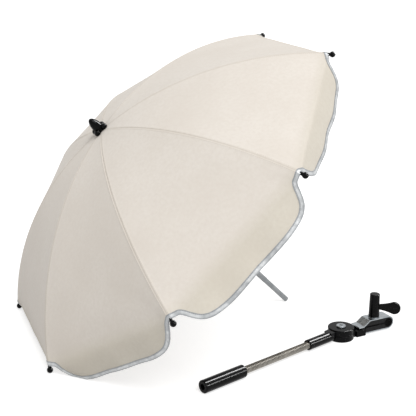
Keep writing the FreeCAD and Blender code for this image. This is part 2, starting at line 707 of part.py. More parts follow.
def make_lower_jaw():
    """The lower steel strap: from the block, under the bolt, and round the tube seat's lower half."""
    strap = bar(V(block_end - jaw_slot_depth, -jaw_width / 2, lower_jaw_foot),
                V(seat_place, jaw_width / 2, lower_jaw_foot + jaw_thickness))
    strap = strap.fuse(ring_sector(jaw_inner, jaw_outer, jaw_width, -90, -jaw_mouth)).removeSplitter()
    return strap.cut(upright(bolt_radius + fit, -overrun, plateau_top, bolt_place))


def jaw_slot():
    """The room that the bolt needs in the upper jaw and its lining while the jaw turns."""
    top = plateau_top + overrun
    slot = upright(bolt_radius + clear, 0, top, bolt_place)
    slot = slot.fuse(upright(bolt_radius + clear, 0, top, bolt_place + jaw_slot_play))
    return slot.fuse(bar(V(bolt_place, -bolt_radius - clear, 0),
                         V(bolt_place + jaw_slot_play, bolt_radius + clear, top)))


def make_upper_jaw():
    """The upper steel strap: a lip on a knuckle, a ramp, a flat for the bolt, and a bend over the seat."""
    low = jaw_pin_height + knuckle_radius + clear
    high = plateau_top - jaw_thickness
    strap = plate([(jaw_lip_start, low), (jaw_ramp_start, low), (plateau_start, high), (seat_place, high),
                   (seat_place, plateau_top), (plateau_start - jaw_thickness / 2, plateau_top),
                   (jaw_ramp_start - jaw_thickness / 2, low + jaw_thickness),
                   (jaw_lip_start, low + jaw_thickness)], jaw_width / 2)
    strap = round_edges(strap, jaw_bend_radius, lambda edge: edge.BoundBox.YLength > knuckle_width
                        and jaw_lip_start < edge.BoundBox.XMin - jaw_thickness
                        and edge.BoundBox.XMin < plateau_start + jaw_thickness)
    knuckle = across(knuckle_radius, knuckle_width / 2, jaw_pin_place, jaw_pin_height)
    neck = bar(V(jaw_pin_place - knuckle_radius, -knuckle_width / 2, jaw_pin_height),
               V(jaw_pin_place, knuckle_width / 2, low + jaw_thickness / 2))
    lip = ring_sector(jaw_inner, jaw_outer, jaw_width, upper_lip, 90)
    jaw = strap.fuse([knuckle, neck, lip]).removeSplitter()
    jaw = jaw.cut(across(jaw_pin_radius + running, jaw_width, jaw_pin_place, jaw_pin_height))
    return jaw.cut(jaw_slot())


def make_pads(upper_jaw):
    """The two rubber linings: they fill the jaws from the block to the tube seat and line the seat."""
    wrap = math.radians(pad_wrap)
    nose = seat_place - seat_radius * math.sin(wrap)
    rise = seat_radius * math.cos(wrap)
    seat = across(seat_radius, jaw_width, seat_place, seat_height)
    floor = seat_height - jaw_inner
    roof = seat_height + jaw_inner
    ramp_share = (pad_start - jaw_ramp_start) / (plateau_start - jaw_ramp_start)
    ramp_foot = jaw_pin_height + knuckle_radius + clear
    upper = plate([(pad_start, seat_height + pad_root_gap / 2),
                   (pad_start, ramp_foot + (roof - ramp_foot) * ramp_share), (plateau_start, roof),
                   (seat_place, roof), (seat_place, seat_height + rise),
                   (nose, seat_height + rise)], jaw_width / 2)
    upper = upper.cut(seat).fuse(ring_sector(seat_radius, jaw_inner, jaw_width, upper_lip, 90))
    upper = upper.removeSplitter().cut([upper_jaw, jaw_slot()])
    lower = plate([(pad_start, floor), (seat_place, floor), (seat_place, seat_height - rise),
                   (nose, seat_height - rise), (pad_start, seat_height - pad_root_gap / 2)], jaw_width / 2)
    lower = lower.cut(seat).fuse(ring_sector(seat_radius, jaw_inner, jaw_width, -90, -jaw_mouth))
    lower = lower.removeSplitter().cut(upright(bolt_radius + clear, 0, plateau_top, bolt_place))
    return upper, lower


def make_clamp_bolt():
    """The clamp's bolt: its head under the lower jaw, its shank up through both jaws."""
    head = upright(bolt_head_radius, 0, lower_jaw_foot, bolt_place)
    return head.fuse(upright(bolt_radius, lower_jaw_foot, lower_jaw_foot + bolt_length, bolt_place))


knob_foot = plateau_top + washer_thickness


def make_washer():
    """The washer between the knob and the upper jaw."""
    washer = upright(washer_radius, plateau_top, knob_foot, bolt_place)
    return washer.cut(upright(bolt_radius + clear, plateau_top - overrun, knob_foot + overrun, bolt_place))


def make_knob():
    """The wing knob: a post with one flat paddle to push round."""
    post = Part.makeCone(knob_radius, knob_top_radius, knob_height, V(0, 0, knob_foot))
    post = round_edges(post, knob_edge, lambda edge: edge.Closed)
    middle = knob_foot + paddle_height
    tangent_share = (paddle_end_radius - paddle_root_height / 2) / paddle_reach
    tangent = math.asin(tangent_share)
    touch_x = paddle_reach + paddle_end_radius * math.sin(-tangent)
    touch_z = paddle_end_radius * math.cos(tangent)
    half = paddle_thickness / 2
    root = paddle_root_height / 2
    waist = (touch_z + root) / 2 - paddle_waist
    outline = [Part.makeLine(V(0, -half, middle - root), V(0, -half, middle + root)),
               Part.Arc(V(touch_x, -half, middle + touch_z),
                        V(paddle_reach + paddle_end_radius, -half, middle),
                        V(touch_x, -half, middle - touch_z)).toShape()]
    for side in (-1, 1):
        outline.append(Part.Arc(V(0, -half, middle + side * root),
                                V(touch_x / 2, -half, middle + side * waist),
                                V(touch_x, -half, middle + side * touch_z)).toShape())
    paddle = Part.Face(Part.Wire(Part.__sortEdges__(outline))).extrude(V(0, paddle_thickness, 0))
    paddle = round_edges(paddle, paddle_edge, lambda edge: edge.BoundBox.XMax > knob_radius
                         and edge.BoundBox.YLength < half)
    knob = post.fuse(turned(paddle, paddle_heading)).removeSplitter()
    bore_end = lower_jaw_foot + bolt_length + bolt_tip_gap
    knob = knob.cut(upright(bolt_radius + clear, knob_foot - overrun, bore_end))
    knob.translate(V(bolt_place, 0, 0))
    return knob


def make_jaw_pin():
    """The pin that the upper jaw turns on."""
    return across(jaw_pin_radius, block_width / 2, jaw_pin_place, jaw_pin_height)


def build():
    """Every piece under its node's name, placed in the row."""
    in_parasol = {
        "finial": make_finial(),
        "crown": make_crown(),
        "crown_wire": Part.makeTorus(crown_pivot_radius, hinge_wire_radius, V(0, 0, crown_pivot.z)),
        "pole": make_pole(),
        "pole_end_plug": make_plug(),
        "runner": make_runner(),
        "runner_wire": Part.makeTorus(runner_wire_ring, hinge_wire_radius, V(0, 0, runner_pivot.z)),
        "runner_button": make_button(),
    }
    rib = make_rib()
    tip = make_tip()
    stretcher = make_stretcher()
    for i, angle in enumerate(rib_angles):
        in_parasol["rib_%d" % (i + 1)] = turned(rib, angle)
        in_parasol["rib_tip_%d" % (i + 1)] = turned(tip, angle)
        in_parasol["stretcher_%d" % (i + 1)] = turned(stretcher, angle)
    in_parasol.update(make_canopy())

    in_arm = {
        "pole_socket": make_socket(),
        "gooseneck": make_coil(),
        "gooseneck_core": make_core(),
        "hinge_arm": make_hinge_arm(),
        "neck_set_screw": make_set_screw(),
    }
    upper_jaw = make_upper_jaw()
    upper_pad, lower_pad = make_pads(upper_jaw)
    in_clamp = {
        "clamp_base": make_clamp_base(),
        "hinge_screw": make_hinge_screw(),
        "hinge_nut": make_hinge_nut(),
        "lower_jaw": make_lower_jaw(),
        "upper_jaw": upper_jaw,
        "upper_pad": upper_pad,
        "lower_pad": lower_pad,
        "clamp_bolt": make_clamp_bolt(),
        "knob_washer": make_washer(),
        "wing_knob": make_knob(),
        "jaw_pin": make_jaw_pin(),
    }
    groups = ((in_parasol, parasol_place), (in_arm, arm_place), (in_clamp, clamp_place))
    return {name: placed(shape, place) for shapes, place in groups for name, shape in shapes.items()}


def middle_of_floor(shapes):
    """The point on the floor under the middle of the whole."""
    boxes = [shape.optimalBoundingBox(False, False) for shape in shapes]
    middle_x = (min(box.XMin for box in boxes) + max(box.XMax for box in boxes)) / 2
    middle_y = (min(box.YMin for box in boxes) + max(box.YMax for box in boxes)) / 2
    return V(middle_x, middle_y, min(box.ZMin for box in boxes))


pieces = build()
row_origin = middle_of_floor(pieces.values())
row_shift = FreeCAD.Placement(row_origin * -1, FreeCAD.Rotation())
os.makedirs("parts", exist_ok=True)
for name, shape in pieces.items():
    placed(shape, row_shift).exportStep(os.path.join("parts", name + ".step"))
print("row origin", row_origin, "tilt %.3f" % math.degrees(tilt), "runner travel %.2f" % runner_travel)
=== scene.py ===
import math

import bpy
from mathutils import Matrix, Vector, noise


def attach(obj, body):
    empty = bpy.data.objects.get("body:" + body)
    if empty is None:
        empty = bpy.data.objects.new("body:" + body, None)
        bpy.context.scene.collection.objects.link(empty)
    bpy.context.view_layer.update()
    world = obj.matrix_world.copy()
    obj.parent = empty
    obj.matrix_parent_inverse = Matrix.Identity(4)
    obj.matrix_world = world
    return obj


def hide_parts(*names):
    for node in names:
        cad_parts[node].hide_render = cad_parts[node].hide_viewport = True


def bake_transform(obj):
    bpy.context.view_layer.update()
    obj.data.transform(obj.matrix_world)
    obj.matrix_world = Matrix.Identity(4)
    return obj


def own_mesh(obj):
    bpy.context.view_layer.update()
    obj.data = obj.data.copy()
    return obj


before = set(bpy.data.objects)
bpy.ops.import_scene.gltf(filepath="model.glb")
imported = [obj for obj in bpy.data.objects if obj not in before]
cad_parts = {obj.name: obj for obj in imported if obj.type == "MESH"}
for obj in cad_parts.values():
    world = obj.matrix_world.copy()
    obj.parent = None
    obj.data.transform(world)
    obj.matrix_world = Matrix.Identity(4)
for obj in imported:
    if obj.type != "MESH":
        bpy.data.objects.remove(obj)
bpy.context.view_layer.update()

# Sizes in metres, in the CAD's own frame
MM = 0.001
UP = Vector((0, 0, 1))
row_origin = Vector((160.10747, 0, 0)) * MM      # on the floor, from under the canopy's top

# Canopy
rib_count = 8
half_step = math.pi / rib_count
first_rib = math.pi - half_step
dome_radius = 493 * MM
rim_angle = 0.774122
canopy_hole = 5.5 * MM
canopy_thickness = 0.7 * MM
canopy_top = Vector((0, 0, 338.509)) * MM - row_origin
tilt = math.radians(44.64005)
lying = Matrix.Translation(canopy_top) @ Matrix.Rotation(-tilt, 4, "Y")
rim_length = dome_radius * rim_angle
half_chord = dome_radius * math.sin(rim_angle) * math.sin(half_step)

# Bands of the cloth from the crown to the rim, and the share of its width that each keeps when folded
band_ends = (canopy_hole, 22 * MM, 42 * MM, 66 * MM, 94 * MM, 124 * MM, 156 * MM, 194 * MM, 235 * MM,
             285 * MM, rim_length)
band_folds = (1.0, 0.88, 0.65, 0.52, 0.435, 0.37, 0.31, 0.25, 0.2, 0.155)
row_length = 8 * MM
edge_row = 1 * MM                # first and last row of a band, so that the bands shade as one cloth
rim_band = 3 * MM
flap_rows = 12

# Flaps past the line from tip to tip: notched at the tips, tucked under on the floor, hanging inward on top
flap_depth = 50 * MM
notched_hem = ((0, 2.6), (5, 4.6), (9, 6.2), (12.5, 7.6), (15.5, 11.2), (18, 16.2), (21, 22.3), (25, 29.5),
               (29.5, 35.5), (37, 41.3), (46, 45.2), (61, 48.4), (80, 50.2), (105, 50.2), (132, 49.4))
plain_hem = ((0, 2.6), (5, 7.5), (9, 13.5), (12.5, 19), (17, 25.5), (23, 32.5), (29.5, 38.2), (37, 42.8),
             (46, 46), (61, 48.6), (80, 50.2), (105, 50.2), (132, 49.4))
plain_corners = ((1, 1), (3, -1), (5, 1), (7, -1))      # gore, and which of its two seams
hem_columns = (0, 0.9, 1.9, 3.1, 5, 7, 9, 11, 12.5, 14, 15.5, 17, 18.5, 20, 22, 24, 26.5, 29.5, 33, 37, 41,
               46, 52, 60, 70, 80, 90, 100, 110, 121)
fold_radii = [radius * MM for radius in (4, 32, 32, 6, 4, 6, 32, 32)]
flap_folds = ((77, 77), (40, 22), (7, 7), (62, 48), (85, 85), (48, 62), (7, 7), (22, 40))
floor_gap = 0.3 * MM
flutter = [0.2 * MM] + [1.3 * MM] * (rib_count - 1)
flutter_length = 74 * MM
flutter_shift = 1.7              # turn of the wave from one gore to the next

# Cloth under tension
sag_depth = 0.6 * MM
seam_welt = 0.30 * MM
welt_place = 2.3 * MM
welt_width = 1.1 * MM
seam_valley = 0.55 * MM
valley_width = 0.9 * MM
seam_fade = 30 * MM              # half width of a gore, below which its seams flatten
free_width = 16 * MM             # distance from a seam at which the cloth is free
ripple_depth = 0.8 * MM
ripple_size = 60 * MM
crown_ripple = 0.3               # share of the ripples that is left at the crown
rim_valley = 2.2 * MM
rim_valley_width = 20 * MM
creases = ((math.radians(34), math.radians(8), 1.2 * MM), (math.radians(9), math.radians(6), 0.9 * MM))
crease_start = 25 * MM
crease_reach = 75 * MM
crease_sway = 0.08               # how far a crease turns from one corner to the next
gore_sway = 5
corner_sway = 2

# Hem binding
binding_width = 6.2 * MM
binding_overhang = 1.0 * MM
binding_lines = (-binding_overhang, 0.6 * MM, 0.35 * binding_width, 0.7 * binding_width, binding_width)
binding_thickness = 2.0 * MM
binding_proud = 0.6 * MM
binding_detail = 3               # steps of the tape for each step of the cloth along the hem
binding_pucker = 0.12 * MM
pucker_length = 11 * MM
pucker_slant = 3

# Clamp arm
arm_turn = math.radians(20)
arm_place = Matrix.Translation(Vector((348, -175, 0)) * MM - row_origin) @ Matrix.Rotation(arm_turn, 4, "Z")
neck_start = -217 * MM
neck_end = -79 * MM
neck_height = 10 * MM
coil_radius = 4.9 * MM
coil_pitch = 2.62 * MM
coil_turns = 60
coil_steps = 16
wire_radius = 1.05 * MM
wire_sides = 10
core_radius = 3.5 * MM
core_sides = 24
core_cuts = 60
core_overlap = 2 * MM            # how far the rod reaches past the coil at each end

# Edges sharper than these stay sharp
cloth_edge = math.radians(35)
steel_edge = math.radians(50)

# Floor and light
floor_size = 40
floor_drop = 0.2 * MM
floor_glow = 0.62
key_energy = 2.02
key_width = math.radians(40)
key_way = Vector((0.15, -0.52, 0.84))
room_light = 0.56
strips = (("upper_strip", Vector((0.65, 0.16, 0.74)), 0.32, 165),       # name, way to it, width, power
          ("lower_strip", Vector((0.80, -0.50, 0.33)), 0.12, 52))
strip_length = 1.6
strip_distance = 1.8
strip_aim = arm_place @ Vector((-0.12, 0, neck_height))

# Camera
camera_place = Vector((-359.375, -1443.106, 655.72)) * MM - row_origin
camera_azimuth = math.radians(339.478)
camera_elevation = math.radians(16.793)
sensor_width = 36
picture_width = 416
focal_length = 950.97            # in pixels of the picture


# Materials

def linear(colour):
    """A linear colour from its sRGB hex value."""
    shares = [int(colour[i:i + 2], 16) / 255 for i in (1, 3, 5)]
    return [s / 12.92 if s <= 0.04045 else ((s + 0.055) / 1.055) ** 2.4 for s in shares] + [1]


def add(tree, kind, inputs=(), **settings):
    """Add a node with its settings, then set or link its inputs."""
    node = tree.nodes.new(kind)
    for name, value in settings.items():
        setattr(node, name, value)
    for name, value in dict(inputs).items():
        if isinstance(value, bpy.types.NodeSocket):
            tree.links.new(value, node.inputs[name])
        else:
            node.inputs[name].default_value = value
    return node


def new_material(name, **sockets):
    """A material with a principled shader whose plain values are set on its own sockets."""
    material = bpy.data.materials.new(name)
    material.use_nodes = True
    shader = material.node_tree.nodes["Principled BSDF"]
    for socket, value in sockets.items():
        shader.inputs[socket.replace("_", " ")].default_value = value
    return material, material.node_tree, shader


def sewn_line(tree, along, aside, line, thread, stitch, sunk):
    """1 on the stitches of a line that is sewn at a distance, and 0 beside them."""
    away = add(tree, "ShaderNodeMath", {0: aside, 1: line}, operation="SUBTRACT").outputs[0]
    away = add(tree, "ShaderNodeMath", {0: away}, operation="ABSOLUTE").outputs[0]
    on_line = add(tree, "ShaderNodeMath", {0: away, 1: thread / 2}, operation="LESS_THAN").outputs[0]
    beat = add(tree, "ShaderNodeMath", {0: along, 1: stitch}, operation="FLOORED_MODULO").outputs[0]
    on_stitch = add(tree, "ShaderNodeMath", {0: beat, 1: stitch - sunk}, operation="LESS_THAN").outputs[0]
    return add(tree, "ShaderNodeMath", {0: on_line, 1: on_stitch}, operation="MULTIPLY").outputs[0]


def pongee_cloth():
    # Woven polyester pongee: matt and even, with a faint weave, a soft sheen, darker stitches and painted
    # shade along the crease of each seam, and painted shade in the loose flaps past the rim
    weave_step = 1.3 * MM       # real thread lies five times as close, and wouldn't show
    weave_relief = 0.5
    stitch_relief = 2.0
    slub_size = 5 * MM
    cloud_size = 90 * MM
    seam_line = 0.4 * MM
    seam_end = 1.8 * MM
    seam_shade_and_stitch_depth = 0.38
    flap_start = rim_length - 14 * MM
    flap_end = rim_length + 10 * MM
    material, tree, shader = new_material("woven_polyester_pongee", Roughness=0.82, Sheen_Weight=0.18,
                                          Sheen_Roughness=0.45, Specular_IOR_Level=0.25)
    uv = add(tree, "ShaderNodeUVMap", uv_map="cloth").outputs["UV"]
    place = add(tree, "ShaderNodeTexCoord").outputs["Object"]
    split = add(tree, "ShaderNodeSeparateXYZ", {"Vector": uv})
    aside = add(tree, "ShaderNodeMath", {0: split.outputs["X"]}, operation="ABSOLUTE").outputs[0]
    along = split.outputs["Y"]

    threads = 2 * math.pi / weave_step
    weft = add(tree, "ShaderNodeMath", {0: aside, 1: threads}, operation="MULTIPLY").outputs[0]
    warp = add(tree, "ShaderNodeMath", {0: along, 1: threads}, operation="MULTIPLY").outputs[0]
    weft = add(tree, "ShaderNodeMath", {0: weft}, operation="SINE").outputs[0]
    warp = add(tree, "ShaderNodeMath", {0: warp}, operation="SINE").outputs[0]
    weave = add(tree, "ShaderNodeMath", {0: weft, 1: warp}, operation="MULTIPLY").outputs[0]
    slub = add(tree, "ShaderNodeTexNoise", {"Vector": place, "Scale": 1 / slub_size,
                                            "Detail": 3.0}).outputs["Fac"]
    cloud = add(tree, "ShaderNodeTexNoise", {"Vector": place, "Scale": 1 / cloud_size,
                                             "Detail": 2.0}).outputs["Fac"]
    stitches = sewn_line(tree, along, aside, line=2.6 * MM, thread=0.8 * MM, stitch=3.2 * MM,
                         sunk=0.896 * MM)
    # Painted shade in the crease along each seam, darkest at the seam, with the darker thread of the stitches
    # added to it
    seam = add(tree, "ShaderNodeMapRange", {"Value": aside, "From Min": seam_line, "From Max": seam_end,
                                            "To Min": 1.0, "To Max": 0.0}).outputs["Result"]
    seam = add(tree, "ShaderNodeMath", {0: seam, 1: stitches}, operation="MAXIMUM").outputs[0]
    seam = add(tree, "ShaderNodeMath", {0: seam, 1: seam_shade_and_stitch_depth}, operation="MULTIPLY").outputs[0]
    # Painted shade: the loose flaps past the rim turn a shade darker
    painted_flap_shade = add(tree, "ShaderNodeMapRange", {"Value": along, "From Min": flap_start,
                                            "From Max": flap_end}).outputs["Result"]

    tone = add(tree, "ShaderNodeMath", {0: slub, 1: cloud}, operation="MULTIPLY").outputs[0]
    tone = add(tree, "ShaderNodeMapRange", {"Value": tone, "From Min": 0.12,
                                            "From Max": 0.4}).outputs["Result"]
    colour = add(tree, "ShaderNodeMix", {0: tone, 6: linear("#DCD4CA"), 7: linear("#E2DBD2")},
                 data_type="RGBA").outputs[2]
    # Painted shade on the loose flaps
    colour = add(tree, "ShaderNodeMix", {0: painted_flap_shade, 6: colour, 7: linear("#F4F4EF")},
                 data_type="RGBA", blend_type="MULTIPLY").outputs[2]
    # Painted shade along the seams, and the darker stitches
    colour = add(tree, "ShaderNodeMix", {0: seam, 6: colour, 7: linear("#B9AF9F")},
                 data_type="RGBA").outputs[2]
    tree.links.new(colour, shader.inputs["Base Color"])

    relief = add(tree, "ShaderNodeMath", {0: weave, 1: weave_relief, 2: slub}, operation="MULTIPLY_ADD")
    relief = add(tree, "ShaderNodeMath", {0: stitches, 1: stitch_relief, 2: relief.outputs[0]},
                 operation="MULTIPLY_ADD")
    bump = add(tree, "ShaderNodeBump", {"Height": relief.outputs[0], "Strength": 0.25, "Distance": 0.1 * MM})
    tree.links.new(bump.outputs["Normal"], shader.inputs["Normal"])
    return material


def satin_tape():
    # Satin bias tape: bright silver grey, lustrous and puckered, with painted highlights that follow the
    # puckers along it and painted shade on its rolled edges
    pucker_size = 9 * MM
    stitch_relief = -0.8
    middle = 2.6 * MM
    edge_start = 1.3 * MM
    edge_end = 2.8 * MM
    edge_shade_depth = 0.7
    material, tree, shader = new_material("satin_bias_tape", Metallic=0.35, Sheen_Weight=0.3,
                                          Sheen_Roughness=0.3)
    uv = add(tree, "ShaderNodeUVMap", uv_map="cloth").outputs["UV"]
    place = add(tree, "ShaderNodeTexCoord").outputs["Object"]
    split = add(tree, "ShaderNodeSeparateXYZ", {"Vector": uv})
    along, inset = split.outputs["X"], split.outputs["Y"]

    pucker_and_highlight = add(tree, "ShaderNodeTexNoise", {"Vector": place, "Scale": 1 / pucker_size,
                                              "Detail": 2.0}).outputs["Fac"]
    stitches = sewn_line(tree, along, inset, line=4.9 * MM, thread=0.7 * MM, stitch=3 * MM, sunk=0.9 * MM)
    # Painted shade where the tape rolls over at both edges
    edge = add(tree, "ShaderNodeMath", {0: inset, 1: middle}, operation="SUBTRACT").outputs[0]
    edge = add(tree, "ShaderNodeMath", {0: edge}, operation="ABSOLUTE").outputs[0]
    edge = add(tree, "ShaderNodeMapRange", {"Value": edge, "From Min": edge_start, "From Max": edge_end,
                                            "To Min": 0.0, "To Max": edge_shade_depth}).outputs["Result"]

    # Painted highlights: the tape turns lighter and darker with the puckers
    tone = add(tree, "ShaderNodeMapRange", {"Value": pucker_and_highlight, "From Min": 0.35,
                                            "From Max": 0.65}).outputs["Result"]
    colour = add(tree, "ShaderNodeMix", {0: tone, 6: linear("#AFB2B4"), 7: linear("#D3D5D6")},
                 data_type="RGBA").outputs[2]
    # Painted shade on the rolled edges
    colour = add(tree, "ShaderNodeMix", {0: edge, 6: colour, 7: linear("#85888B")},
                 data_type="RGBA").outputs[2]
    colour = add(tree, "ShaderNodeMix", {0: stitches, 6: colour, 7: linear("#8F9193")},
                 data_type="RGBA").outputs[2]
    tree.links.new(colour, shader.inputs["Base Color"])
    gloss = add(tree, "ShaderNodeMapRange", {"Value": pucker_and_highlight, "To Min": 0.28, "To Max": 0.52})
    tree.links.new(gloss.outputs["Result"], shader.inputs["Roughness"])

    relief = add(tree, "ShaderNodeMath", {0: stitches, 1: stitch_relief, 2: pucker_and_highlight}, operation="MULTIPLY_ADD")
    bump = add(tree, "ShaderNodeBump", {"Height": relief.outputs[0], "Strength": 0.5, "Distance": 0.5 * MM})
    tree.links.new(bump.outputs["Normal"], shader.inputs["Normal"])
    return material


def grained(name, dark, light, rough, grain, relief, stretch=(1, 1, 1), **sockets):
    """A hard surface whose tone, roughness and relief follow one fine grain."""
    cloud_size = 18 * MM
    material, tree, shader = new_material(name, **sockets)
    place = add(tree, "ShaderNodeTexCoord").outputs["Object"]
    place = add(tree, "ShaderNodeMapping", {"Vector": place, "Scale": stretch}).outputs["Vector"]
    fine = add(tree, "ShaderNodeTexNoise", {"Vector": place, "Scale": 1 / grain,
                                            "Detail": 4.0}).outputs["Fac"]
    cloud = add(tree, "ShaderNodeTexNoise", {"Vector": place, "Scale": 1 / cloud_size,
                                             "Detail": 2.0}).outputs["Fac"]
    tone = add(tree, "ShaderNodeMath", {0: fine, 1: cloud}, operation="ADD").outputs[0]
    tone = add(tree, "ShaderNodeMapRange", {"Value": tone, "From Min": 0.7,
                                            "From Max": 1.3}).outputs["Result"]
    colour = add(tree, "ShaderNodeMix", {0: tone, 6: linear(dark), 7: linear(light)},
                 data_type="RGBA").outputs[2]
    tree.links.new(colour, shader.inputs["Base Color"])
    gloss = add(tree, "ShaderNodeMapRange", {"Value": cloud, "To Min": rough[0], "To Max": rough[1]})
    tree.links.new(gloss.outputs["Result"], shader.inputs["Roughness"])
    bump = add(tree, "ShaderNodeBump", {"Height": fine, "Strength": 0.2, "Distance": relief})
    tree.links.new(bump.outputs["Normal"], shader.inputs["Normal"])
    return material


cloth = pongee_cloth()
tape = satin_tape()
# Injection-moulded ABS: deep black, glossy, with the faint unevenness of a moulded skin
black_abs = grained("moulded_black_abs", "#050506", "#0A0A0B", rough=(0.14, 0.24), grain=2.5 * MM,
                    relief=0.05 * MM, Specular_IOR_Level=0.08)
# Bright zinc plate on pressed steel: cool and mirror-like, with a cloudy roughness and fine rolling marks
zinc_plate = grained("bright_zinc_plated_steel", "#83888C", "#B2B7BA", rough=(0.2, 0.38), grain=1.2 * MM,
                     relief=0.03 * MM, stretch=(1, 6, 6), Metallic=1.0)
# Powder-coated steel tube: satin silver grey with a fine sparkle in the coat
silver_coat = grained("silver_powder_coat", "#7E8285", "#9EA1A3", rough=(0.38, 0.52), grain=0.8 * MM,
                      relief=0.04 * MM, Metallic=0.55)
# Nickel-plated spring wire: grey, half bright
nickel_wire = grained("nickel_plated_wire", "#A6A8AA", "#C6C8CA", rough=(0.24, 0.38), grain=1.0 * MM,
                      relief=0.02 * MM, Metallic=1.0)
# Wound steel wire, lightly oiled: warm grey, bright on the crown of each turn
wound_steel = grained("wound_spring_steel", "#797670", "#A5A19A", rough=(0.2, 0.36), grain=0.9 * MM,
                      relief=0.02 * MM, Metallic=1.0)
# Blackened steel: dark, oily, half bright
black_steel = grained("blackened_steel", "#161617", "#242425", rough=(0.3, 0.45), grain=0.8 * MM,
                      relief=0.02 * MM, Metallic=0.6)
# Nitrile rubber: matt black, slightly greyed
rubber = grained("nitrile_rubber", "#0A0A0B", "#141415", rough=(0.55, 0.72), grain=1.1 * MM,
                 relief=0.08 * MM, Specular_IOR_Level=0.2)

finishes = {
    black_abs: ("finial", "crown", "runner", "runner_button", "rib_tip", "pole_socket",
                "hinge_arm", "clamp_base", "wing_knob"),
    silver_coat: ("pole", "pole_end_plug"),
    nickel_wire: ("rib", "stretcher", "crown_wire", "runner_wire"),
    zinc_plate: ("lower_jaw", "upper_jaw", "hinge_screw", "hinge_nut", "clamp_bolt", "knob_washer"),
    black_steel: ("neck_set_screw", "jaw_pin"),
    wound_steel: ("gooseneck", "gooseneck_core"),
    rubber: ("lower_pad", "upper_pad"),
    cloth: ("canopy_panel",),
}
for finish, names in finishes.items():
    for name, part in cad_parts.items():
        if name in names or name.rstrip("0123456789").rstrip("_") in names:
            part.data.materials.clear()
            part.data.materials.append(finish)


# Canopy

def half_width(length):
    """Half the width of a gore, at a length along its seam from the crown."""
    return dome_radius * math.sin(min(length, rim_length) / dome_radius) * math.sin(half_step)


def cloth_lift(gore, across, length, local):
    """How far the cloth stands off the taut gore: its belly, seams, ripples, rim, creases and flutter."""
    width = half_width(length)
    share = min(1, length / rim_length)
    seam = max(0, width - abs(across))
    lift = -sag_depth * 4 * share * (1 - share) * (1 - min(1, across / width) ** 2) ** 2
    narrow = min(1, width / seam_fade)
    lift += narrow * seam_welt * math.exp(-((seam - welt_place) / welt_width) ** 2)
    lift -= narrow * seam_valley * math.exp(-(seam / valley_width) ** 2)
    free = 1 - math.exp(-(seam / free_width) ** 2)
    ripple = crown_ripple + (1 - crown_ripple) * share
    lift += free * ripple_depth * ripple * noise.noise(local / ripple_size)
    lift -= free * rim_valley * math.exp(-((length - rim_length) / rim_valley_width) ** 2)
    for corner in (-1, 1):
        beside = half_chord - corner * across
        above = rim_length - length
        reach = math.hypot(beside, above)
        heading = math.atan2(above, beside)
        sway = crease_sway * math.sin(gore_sway * gore + corner_sway * corner)
        grown = reach / (reach + crease_start)
        for crease_heading, crease_width, depth in creases:
            turn = (heading - crease_heading - sway) / crease_width
            lift -= free * depth * grown * math.exp(-turn * turn - reach / crease_reach)
    if length > rim_length:
        wave = math.sin(2 * math.pi * across / flutter_length + flutter_shift * gore)
        lift += flutter[gore] * wave * (length - rim_length) / flap_depth
    return lift


def gore_point(gore, across, length, proud=0.0):
    """A point of a gore's outer face, across from its middle line and along from the crown."""
    turn = first_rib + (2 * gore + 1) * half_step
    out = Vector((math.cos(turn), math.sin(turn), 0))
    side = Vector((-math.sin(turn), math.cos(turn), 0))
    angle = min(length, rim_length) / dome_radius
    narrow = math.cos(half_step)
    local = out * dome_radius * narrow * math.sin(angle) + side * across
    local += UP * dome_radius * (math.cos(angle) - 1)
    down = (out * narrow * math.cos(angle) - UP * math.sin(angle)).normalized()
    face = (out * math.sin(angle) + UP * narrow * math.cos(angle)).normalized()
    lift = proud + cloth_lift(gore, across, length, local)
    past = max(0, length - rim_length)
    start, end = flap_folds[gore]
    fold = math.radians(start + (end - start) * (across / half_chord + 1) / 2)
    fold_radius = fold_radii[gore]
    bend = min(past / fold_radius, fold)
    local += down * fold_radius * math.sin(bend) - face * fold_radius * (1 - math.cos(bend))
    local += (down * math.cos(bend) - face * math.sin(bend)) * (past - fold_radius * bend)
    local += (face * math.cos(bend) + down * math.sin(bend)) * lift
    point = lying @ local
    point.z = max(point.z, floor_gap)
    return point


def hem_outline(gore, corner, detail):
    """Half a gore's hem: distances from the seam, and how far the flap hangs past the rim there."""
    line = plain_hem if (gore, corner) in plain_corners else notched_hem
    line = [(x * MM, hang * MM) for x, hang in line]
    columns = [x * MM for x in hem_columns] + [half_chord]
    spots = [columns[0]]
    for here, there in zip(columns, columns[1:]):
        spots += [here + (there - here) * k / detail for k in range(1, detail + 1)]
    slopes = []
    for k in range(len(line)):
        before, after = line[max(0, k - 1)], line[min(len(line) - 1, k + 1)]
        slopes.append((after[1] - before[1]) / (after[0] - before[0]))
    outline = []
    for x in spots:
        k = max(i for i in range(len(line) - 1) if line[i][0] <= x)
        (x0, hang0), (x1, hang1) = line[k], line[k + 1]
        run = x1 - x0
        t = (x - x0) / run
        hang = hang0 * (1 + 2 * t) * (1 - t) ** 2 + hang1 * t * t * (3 - 2 * t)
        hang += run * (slopes[k] * t * (1 - t) ** 2 - slopes[k + 1] * t * t * (1 - t))
        outline.append((x, hang))
    return outline


def both_sides(rib, detail):
    """The hem of both half gores beside a rib: side of the rib, distance from the seam, hang."""
    left = [(-1, x, hang) for x, hang in reversed(hem_outline((rib - 1) % rib_count, 1, detail))]
    return left + [(1, x, hang) for x, hang in hem_outline(rib, -1, detail)[1:]]


def flap_area(rib):
    """The area of the cloth past the rim, on both sides of a rib."""
    hem = [(side * x, hang) for side, x, hang in both_sides(rib, 1)]
    return sum((x1 - x0) * (hang0 + hang1) / 2 for (x0, hang0), (x1, hang1) in zip(hem, hem[1:]))


